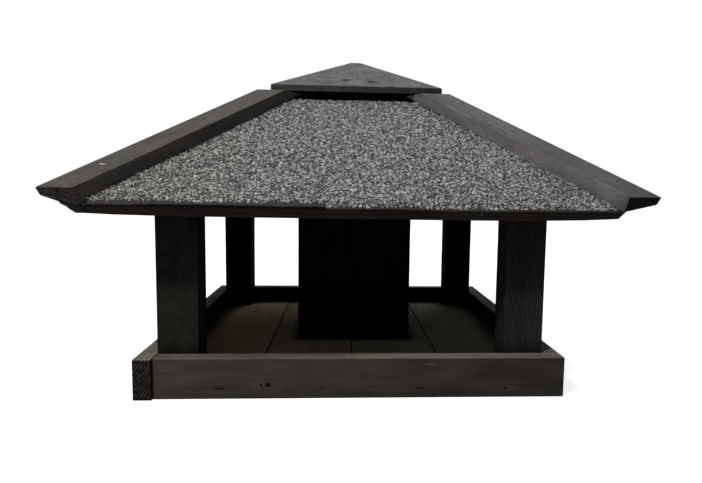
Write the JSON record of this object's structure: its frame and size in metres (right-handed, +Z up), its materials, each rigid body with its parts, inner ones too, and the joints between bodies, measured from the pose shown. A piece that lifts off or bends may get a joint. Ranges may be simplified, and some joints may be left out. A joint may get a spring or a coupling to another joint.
{
  "type": "bird feeder",
  "caption": "Square garden bird feeder with a railed board tray, corner posts, a central seed silo and a low hipped felt roof under a pyramid cap that lifts off.",
  "frame": {"origin": "middle of the tray's underside, on the ground, below the roof's middle", "axes": "+Z up, -Y the front, +X to the right as seen from the front; the floor boards run along Y"},
  "size_m": [0.5058, 0.5058, 0.3433],
  "materials": {
    "stained_rail": "black-brown stained softwood, matt, worn grey on the top edges",
    "stained_floor": "black-brown stained softwood boards, matt",
    "black_post": "black stained softwood, matt",
    "black_silo": "black stained boards with upright grain, matt",
    "roof_panel": "black-brown stained board, matt, bare cut edges",
    "roofing_felt": "bitumen roofing felt with grey mineral chips, matt",
    "hip_board": "black stained softwood, matt, worn grey",
    "cap_wood": "black stained softwood, matt, worn grey"
  },
  "bodies": {
    "feeder": {"front_rail": "stained_rail", "back_rail": "stained_rail", "left_rail": "stained_rail", "right_rail": "stained_rail", "floor_board_1": "stained_floor", "floor_board_2": "stained_floor", "floor_board_3": "stained_floor", "floor_board_4": "stained_floor", "post_front_left": "black_post", "post_front_right": "black_post", "post_back_left": "black_post", "post_back_right": "black_post", "silo_front_board": "black_silo", "silo_back_board": "black_silo", "silo_left_board": "black_silo", "silo_right_board": "black_silo", "roof_panel_front": "roof_panel", "roof_panel_right": "roof_panel", "roof_panel_back": "roof_panel", "roof_panel_left": "roof_panel", "roofing_felt_front": "roofing_felt", "roofing_felt_right": "roofing_felt", "roofing_felt_back": "roofing_felt", "roofing_felt_left": "roofing_felt", "hip_board_front_left": "hip_board", "hip_board_front_right": "hip_board", "hip_board_right_front": "hip_board", "hip_board_right_back": "hip_board", "hip_board_back_right": "hip_board", "hip_board_back_left": "hip_board", "hip_board_left_back": "hip_board", "hip_board_left_front": "hip_board"},
    "cap": {"roof_cap": "cap_wood", "cap_plug": "cap_wood"}
  },
  "joints": [
    {"name": "cap_lift", "type": "slide", "parent": "feeder", "child": "cap", "axis": [0, 0, 1], "range_m": [0, 0.15]}
  ]
}
